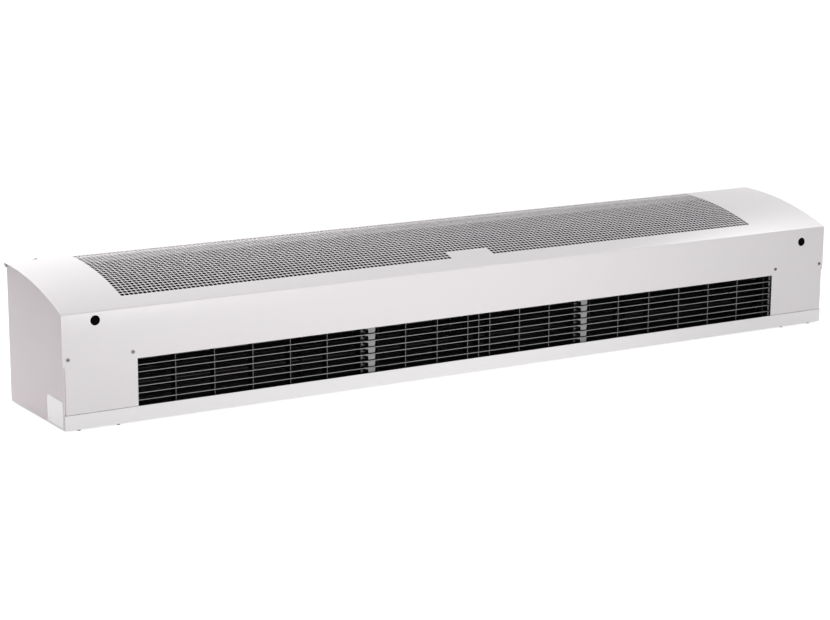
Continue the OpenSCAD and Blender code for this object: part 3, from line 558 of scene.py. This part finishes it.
grille_low, grille_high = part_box("outlet_grille_centre")
blade_reach = (grille_high[0] - grille_low[0]) / 2
blade_ends = (-blade_reach, blade_reach)
blade = template(prism("blade", nose_outline(grille_low[1], grille_high[1], BLADE_THICK, BLADE_TAIL),
                       ALONG_X, blade_ends, highlighted_sides=HIGHLIGHT_SIDES))
rail = template(prism("rail", nose_outline(grille_low[1] + RAIL_SET_BACK, grille_high[1], BLADE_THICK,
                                           BLADE_THICK), ALONG_X, blade_ends))
rib_front = grille_low[1] + RIB_SET_BACK
rib_back = grille_high[1] - RIB_SHORT
rib_half = BLADE_THICK / 2
rib_outline = [(-rib_half, rib_back), (-rib_half, rib_front + rib_half), (0, rib_front),
               (rib_half, rib_front + rib_half), (rib_half, rib_back)]
rib_ends = (RIB_GAP, grille_high[2] - grille_low[2] - RIB_GAP)
rib = template(prism("rib", rib_outline, ALONG_Z, rib_ends, highlighted_sides=(1, 2), highlight_strength=RIB_HIGHLIGHT))
plain_rib = template(prism("plain_rib", rib_outline, ALONG_Z, rib_ends))

tree, given = new_tree("grille moulding", Blade="Object", Rail="Object", Rib="Object",
                       PlainRib="Object", Outer="Float", Blades="Int", Pitch="Float",
                       First="Float", Height="Float")
rungs = ladder(tree, given["Blades"], given["First"], given["Pitch"])
span = add(tree, "ShaderNodeCombineXYZ", {"Z": given["Height"]})
edges = add(tree, "GeometryNodeMeshLine", {"Count": 2, "Start Location": (0, 0, BLADE_THICK / 2),
                                           "Offset": span.outputs[0]})
across = add(tree, "ShaderNodeSeparateXYZ", {0: add(tree, "GeometryNodeInputPosition").outputs[0]})
reach = add(tree, "ShaderNodeMath", {0: across.outputs["X"]}, operation="ABSOLUTE")
is_outer = add(tree, "ShaderNodeMath", {0: reach.outputs[0], 1: given["Outer"]},
               operation="GREATER_THAN").outputs[0]
is_inner = add(tree, "ShaderNodeMath", {0: 1.0, 1: is_outer}, operation="SUBTRACT").outputs[0]
end_tree(tree, [repeat(tree, rungs, given["Blade"]),
                repeat(tree, edges.outputs[0], given["Rail"]),
                repeat(tree, given["Geometry"], given["Rib"], Selection=is_inner),
                repeat(tree, given["Geometry"], given["PlainRib"], Selection=is_outer)], black_abs_and_painted_light)

for side, ribs_at in (("left", SIDE_RIBS), ("centre", CENTRE_RIBS), ("right", SIDE_RIBS)):
    node = "outlet_grille_" + side
    low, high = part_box(node)
    moulding = grow(node + "_moulding", tree, flat_mesh("ribs", [(x * MM, 0, 0) for x in ribs_at]),
                    Blade=blade, Rail=rail, Rib=rib, PlainRib=plain_rib, Outer=OUTER_RIBS,
                    Blades=BLADE_COUNT, Pitch=BLADE_PITCH, First=FIRST_BLADE,
                    Height=high[2] - low[2] - BLADE_THICK)
    moulding.data.transform(Matrix.Translation(((low[0] + high[0]) / 2, 0, low[2])))
    smooth(moulding.data, sharp_angle=40)
    fit(moulding, [node])

# Grey combs join the mouldings from behind: a back strip with a tooth under each blade, its sides
# painted black as painted shade. The two end combs have a pair of narrow prongs there instead, on a
# strip painted black as painted shade.
COMB_HALF = 12.5 * MM
COMB_STRIP = 1.7 * MM
TOOTH_CLEAR = 0.2 * MM  # between a tooth and the blade above it
# a tooth and a pair of prongs as seen from the front, in mm from the middle of their tops
TOOTH_OUTLINE = ((-12.5, 0), (-12.5, -1.0), (-6.2, -1.8), (-5.0, -3.2), (-4.4, -10.5),
                 (11.3, -10.5), (12.5, -4.0), (12.5, 0))
PRONGS_OUTLINE = ((-8.6, 0), (-8.6, -10.5), (-3.0, -10.5), (-3.0, -1.6),
                  (3.0, -1.6), (3.0, -10.5), (8.6, -10.5), (8.6, 0))
FORWARD = -0.5  # a face whose normal's y is less looks out of the outlet

# Grey ABS, matt.
grey_abs = grained("grey_moulded_abs", "#959596", 0.50, 1.5, 0.02)

comb_low, comb_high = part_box("grille_combs")
strip_front, strip_back = comb_high[1] - COMB_STRIP, comb_high[1]
tooth, prongs = [
    template(prism(name, [(x * MM, z * MM) for x, z in outline], ALONG_Y, (comb_low[1], strip_front)))
    for name, outline in (("tooth", TOOTH_OUTLINE), ("prongs", PRONGS_OUTLINE))]
strip_outline = [(-COMB_HALF, strip_front), (COMB_HALF, strip_front), (COMB_HALF, strip_back),
                 (-COMB_HALF, strip_back)]
strip = template(prism("strip", strip_outline, ALONG_Z, (0, comb_high[2] - comb_low[2])))

tree, given = new_tree("comb", Tooth="Object", Strip="Object", Teeth="Int", Pitch="Float",
                       First="Float")
rungs = ladder(tree, given["Teeth"], given["First"], given["Pitch"])
one_comb = add(tree, "GeometryNodeJoinGeometry", {0: repeat(tree, rungs, given["Tooth"])})
strip_info = add(tree, "GeometryNodeObjectInfo", {"Object": given["Strip"]})
tree.links.new(strip_info.outputs["Geometry"], one_comb.inputs[0])
as_one = add(tree, "GeometryNodeGeometryToInstance", {0: one_comb.outputs[0]})
combs = add(tree, "GeometryNodeInstanceOnPoints", {"Points": given["Geometry"],
                                                   "Instance": as_one.outputs[0]})
end_tree(tree, [combs.outputs[0]], grey_abs)

# one at each end of the outlet and one at each joint
comb_first, comb_last = comb_low[0] + COMB_HALF, comb_high[0] - COMB_HALF
comb_places = [(comb_first + (comb_last - comb_first) * k / 3, 0, comb_low[2]) for k in range(4)]
for name, places, kind, nodes, painted_shade_from in (
        ("comb_set", comb_places[1:3], tooth, ["grille_combs"], strip_back),
        ("end_combs", comb_places[::3], prongs, [], strip_front - COMB_STRIP)):
    combs = grow(name, tree, flat_mesh("combs", places), Tooth=kind, Strip=strip, Teeth=BLADE_COUNT,
                 Pitch=BLADE_PITCH, First=FIRST_BLADE - BLADE_THICK / 2 - TOOTH_CLEAR)
    # Faces that don't look out of the outlet, and the end combs' strips, are painted black: painted
    # shade.
    combs.data.materials.append(black_abs_and_painted_light)
    for face in combs.data.polygons:
        if face.normal.y > FORWARD or face.center.y > painted_shade_from:
            face.material_index = len(combs.data.materials) - 1
    fit(combs, nodes)

# ---------------------------------------------------------------- End panels
# Flat steel sides with turned-in flanges, powder coated white and drawn slightly warmer: painted
# shade, the tint of the shade on the ends.
# The cover rests on them.

for node in ("end_panel_left", "end_panel_right"):
    soften(node, coats["panel"])

# ---------------------------------------------------------------- Cover
# One powder coated sheet, 0.8 mm thick: a hem behind, the curved and punched top, a fold in front
# and the skirt, cut out for the outlet. Four screws hold it to the end panels and the duct's hood.

COVER_SHEET = 0.8 * MM
FRONT_HEIGHT = 237.0 * MM
FOLD_REACH, FOLD_STEPS = 2.4 * MM, 4  # the fold in front starts and ends this far from its corner
HEM_TURN = 1.6 * MM
HEM_WIDTH = 11.5 * MM
HEM_SLOPE = math.radians(35)
TAB_REACH, TAB_INSET = 13.5 * MM, 0.1 * MM  # of the tabs that close the hem's ends
GLAND_X, GLAND_ROOM = -924.0 * MM, 18.0 * MM  # the hem is notched this far each side of the gland
SKIRT_HALF = 997.5 * MM
STEP_LOW, STEP_HIGH = 127.0 * MM, 131.5 * MM  # the cover narrows to its skirt between these
OUTLET_HALF = 840.0 * MM
OUTLET_TOP = 131.0 * MM
SKIRT_LINES = [200 * MM, 170 * MM, 145 * MM, STEP_HIGH, OUTLET_TOP, STEP_LOW, 95 * MM, 60 * MM]
END_LINES = [860 * MM, 900 * MM, 950 * MM]  # across the plain right end
FRONT_STRIPS = 5  # from the fold to the first row of holes
HOLE_COLUMNS = 166
HOLE_ROWS = 24
ROW_PITCH = 10.5 * MM
FIELD_FRONT = 46.2 * MM  # along the curve, from the fold to the first row's near edge
FIELD_LEFT, FIELD_RIGHT = -853.4 * MM, 801.3 * MM
PATCH_FIRST, PATCH_COLUMNS, PATCH_ROWS = 80, 11, 3  # the patch that isn't punched
HOLE_SHARE = 0.86  # of the pitch
HOLE_CORNER = 0.32  # of half the hole's width, cut off each corner

cover_low, cover_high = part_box("top_cover")
crest_y, crest_z = cover_high[1], cover_high[2]
front_y = cover_low[1]
curve_rise = crest_z - FRONT_HEIGHT
curve_radius = ((crest_y - front_y) ** 2 + curve_rise ** 2) / (2 * curve_rise)
curve_angle = math.asin((crest_y - front_y) / curve_radius)
curve_length = curve_radius * curve_angle


def on_curve(length):
    """The cover's outer surface, at a length along the curve from the front fold."""
    a = curve_angle - length / curve_radius
    return (crest_y - curve_radius * math.sin(a), crest_z - curve_radius * (1 - math.cos(a)))


# the section from the hem over the curve and down the skirt
section = [(crest_y - HEM_WIDTH * math.cos(HEM_SLOPE),
            crest_z - HEM_TURN - HEM_WIDTH * math.sin(HEM_SLOPE)),
           (crest_y - HEM_TURN / 4, crest_z - HEM_TURN), (crest_y, crest_z - HEM_TURN / 2)]
first_on_curve = len(section)
field_rows = [FIELD_FRONT + j * ROW_PITCH for j in range(HOLE_ROWS + 1)]
plain_front = [FIELD_FRONT * k / FRONT_STRIPS for k in range(1, FRONT_STRIPS)]
section += [on_curve(s) for s in [curve_length] + field_rows[::-1] + plain_front[::-1]]
fold = [on_curve(FOLD_REACH), on_curve(0), (front_y, FRONT_HEIGHT - FOLD_REACH)]
for k in range(FOLD_STEPS + 1):
    t = k / FOLD_STEPS
    section.append(tuple((1 - t) ** 2 * a + 2 * t * (1 - t) * b + t * t * c
                         for a, b, c in zip(*fold)))
skirt_start = len(section)
section += [(front_y, z) for z in SKIRT_LINES + [cover_low[2]]]

field_width = FIELD_RIGHT - FIELD_LEFT
field_columns = [FIELD_LEFT + field_width * i / HOLE_COLUMNS for i in range(HOLE_COLUMNS + 1)]
columns = sorted([cover_low[0], cover_high[0], -SKIRT_HALF, SKIRT_HALF, -OUTLET_HALF, OUTLET_HALF,
                  GLAND_X - GLAND_ROOM, GLAND_X + GLAND_ROOM] + END_LINES + field_columns)

# the outlet's sides are lines of the skirt only, so that they don't cut through the holes
points = [(x, y, z) for y, z in section for x in columns]
wide = len(columns)
faces, punched = [], []
for j in range(len(section) - 1):
    row = j - first_on_curve - 1
    in_front = section[j][0] == front_y
    middle_z = (section[j][1] + section[j + 1][1]) / 2
    stops = [i for i in range(wide) if j >= skirt_start or abs(columns[i]) != OUTLET_HALF]
    for i, k in zip(stops, stops[1:]):
        middle_x = (columns[i] + columns[k]) / 2
        in_outlet = in_front and middle_z < OUTLET_TOP and abs(middle_x) < OUTLET_HALF
        past_skirt = in_front and middle_z < STEP_HIGH and abs(middle_x) > SKIRT_HALF
        at_gland = j == 0 and abs(middle_x - GLAND_X) < GLAND_ROOM
        if in_outlet or past_skirt or at_gland:
            continue
        corners = [j * wide + i, j * wide + k, (j + 1) * wide + k, (j + 1) * wide + i]
        if k > i + 1 and j + 1 == skirt_start:
            corners.insert(3, (j + 1) * wide + i + 1)
        in_field = 0 <= row < HOLE_ROWS and FIELD_LEFT < middle_x < FIELD_RIGHT
        column = round((middle_x - FIELD_LEFT) / field_width * HOLE_COLUMNS - 0.5)
        in_patch = (row >= HOLE_ROWS - PATCH_ROWS
                    and PATCH_FIRST <= column < PATCH_FIRST + PATCH_COLUMNS)
        faces.append(corners)
        punched.append(in_field and not in_patch)
sheet_mesh = flat_mesh("cover sheet", points, faces)
shape = bmesh.new()
shape.from_mesh(sheet_mesh)
# the step's slanted ends
shape.verts.ensure_lookup_table()
high_row, low_row = [(skirt_start + SKIRT_LINES.index(z)) * wide for z in (STEP_HIGH, STEP_LOW)]
for inner, outer in ((1, 0), (wide - 2, wide - 1)):
    ring = [high_row + outer, high_row + inner, high_row + wide + inner, low_row + inner]
    shape.faces.new([shape.verts[k] for k in ring])
bmesh.ops.delete(shape, geom=[v for v in shape.verts if not v.link_faces], context="VERTS")
bmesh.ops.recalc_face_normals(shape, faces=shape.faces)
shape.normal_update()
if sum(f.normal.z for f in shape.faces) < 0:
    bmesh.ops.reverse_faces(shape, faces=shape.faces)
shape.to_mesh(sheet_mesh)
shape.free()
flags = sheet_mesh.attributes.new("punched", "BOOLEAN", "FACE")
for k, value in enumerate(punched):
    flags.data[k].value = value

# one hole in its square of sheet: eight corners, the square's edges shared with its neighbours
cell_w = field_width / HOLE_COLUMNS / 2
cell_h = ROW_PITCH / 2
cell_corners = [(-1, -1), (1, -1), (1, 1), (-1, 1)]
square = [(sx * cell_w, sy * cell_h) for sx, sy in cell_corners]
hole = []
for sx, sy in cell_corners:
    a = (sx * cell_w * HOLE_SHARE, sy * cell_h * HOLE_SHARE * (1 - HOLE_CORNER))
    b = (sx * cell_w * HOLE_SHARE * (1 - HOLE_CORNER), sy * cell_h * HOLE_SHARE)
    hole += [a, b] if sx * sy > 0 else [b, a]
cell_faces = []
for k in range(4):
    cell_faces.append((k, (k + 1) % 4, 4 + (2 * k + 2) % 8, 4 + 2 * k + 1))
    cell_faces.append((k, 4 + 2 * k + 1, 4 + 2 * k))
cell = template(flat_mesh("punched_cell", [(x, y, 0) for x, y in square + hole], cell_faces))

tree, given = new_tree("punched sheet", Cell="Object")
is_punched = add(tree, "GeometryNodeInputNamedAttribute", {"Name": "punched"}, data_type="BOOLEAN")
parted = add(tree, "GeometryNodeSeparateGeometry", {0: given["Geometry"], 1: is_punched.outputs[0]},
             domain="FACE")
upright = add(tree, "GeometryNodeInputNormal")
kept = add(tree, "GeometryNodeCaptureAttribute", {0: parted.outputs[0]}, domain="FACE")
kept.capture_items.new("VECTOR", "upright")
tree.links.new(upright.outputs[0], kept.inputs[1])
centres = add(tree, "GeometryNodeMeshToPoints", {0: kept.outputs[0]}, mode="FACES")
turned = add(tree, "FunctionNodeAlignRotationToVector", {"Vector": kept.outputs[1]},
             axis="Z", pivot_axis="X")
cells = repeat(tree, centres.outputs[0], given["Cell"], Rotation=turned.outputs[0])
real = add(tree, "GeometryNodeRealizeInstances", {0: cells})
joined = add(tree, "GeometryNodeJoinGeometry", {0: parted.outputs[1]})
tree.links.new(real.outputs[0], joined.inputs[0])
welded = add(tree, "GeometryNodeMergeByDistance", {0: joined.outputs[0], "Distance": 0.05 * MM})
end_tree(tree, [welded.outputs[0]], coats["cover"])

cover = grow("cover_sheet", tree, sheet_mesh, Cell=cell)
thickness = cover.modifiers.new("thickness", "SOLIDIFY")
thickness.thickness = COVER_SHEET
thickness.offset = -1
thickness.use_even_offset = True
solid = bake(cover)
cover.modifiers.clear()
cover.data = solid
tab_front, tab_top = on_curve(curve_length - TAB_REACH)
tab_outline = section[:first_on_curve] + [(tab_front, tab_top - COVER_SHEET),
                                          (tab_front, section[0][1])]
shape = bmesh.new()
shape.from_mesh(solid)
for end, inward in ((cover_low[0], 1), (cover_high[0], -1)):
    shape.from_mesh(prism("tab", tab_outline, ALONG_X,
                          (end + inward * TAB_INSET, end + inward * COVER_SHEET)))
shape.to_mesh(solid)
shape.free()
smooth(solid, sharp_angle=30)
fit(cover, ["top_cover"])

# ---------------------------------------------------------------- Fastenings and fittings
# Zinc plated pan-head screws, two black plugs in the front face, the cable gland in the rear wall
# and a blank label on the left end.

RECESS_TOP, RECESS_FLOOR = 0.1 * MM, 1.05 * MM  # depths between which a screw's recess lies

# Zinc plating: plain grey, with soft gloss.
zinc_plate = grained("zinc_plated_steel", "#737273", 0.35, 0.8, 0.01, metallic=1.0)

# The recesses of the cover's screws are drawn near black: painted shade.
recess_painted_shade = grained("shaded_screw_recess", "#0E0E0E", 0.85, 0.5, 0.02)

# Black nylon of the plugs: deep black and quite dull.
black_nylon = grained("black_nylon", "#020202", 0.60, 0.7, 0.01, others={"Specular IOR Level": 0.02})

# Grey nylon of the gland: dark and matt.
grey_nylon = grained("grey_nylon", "#222225", 0.5, 0.8, 0.02)

# Polyester label film under a clear laminate: white, smooth and glossy.
label_film = grained("white_label_film", "#FEFBFC", 0.16, 3.0, 0.004, others={
    "Specular IOR Level": 0.8, "Coat Weight": 1.0, "Coat Roughness": 0.05})

screws = soften("cover_screws", zinc_plate)
screws.data.materials.append(recess_painted_shade)
head_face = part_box("cover_screws")[0][1]
# Faces within the recess take the painted shade.
for face in screws.data.polygons:
    if RECESS_TOP < face.center.y - head_face < RECESS_FLOOR:
        face.material_index = 1
dress("tray_screws", zinc_plate)
for node in ("plug_left", "plug_right"):
    dress(node, black_nylon)
for node in ("cable_gland", "gland_nut"):
    dress(node, grey_nylon)
dress("rating_label", label_film)

# ---------------------------------------------------------------- Clean-up
# The templates that the trees repeated go.

for thing in templates:
    bpy.data.objects.remove(thing)
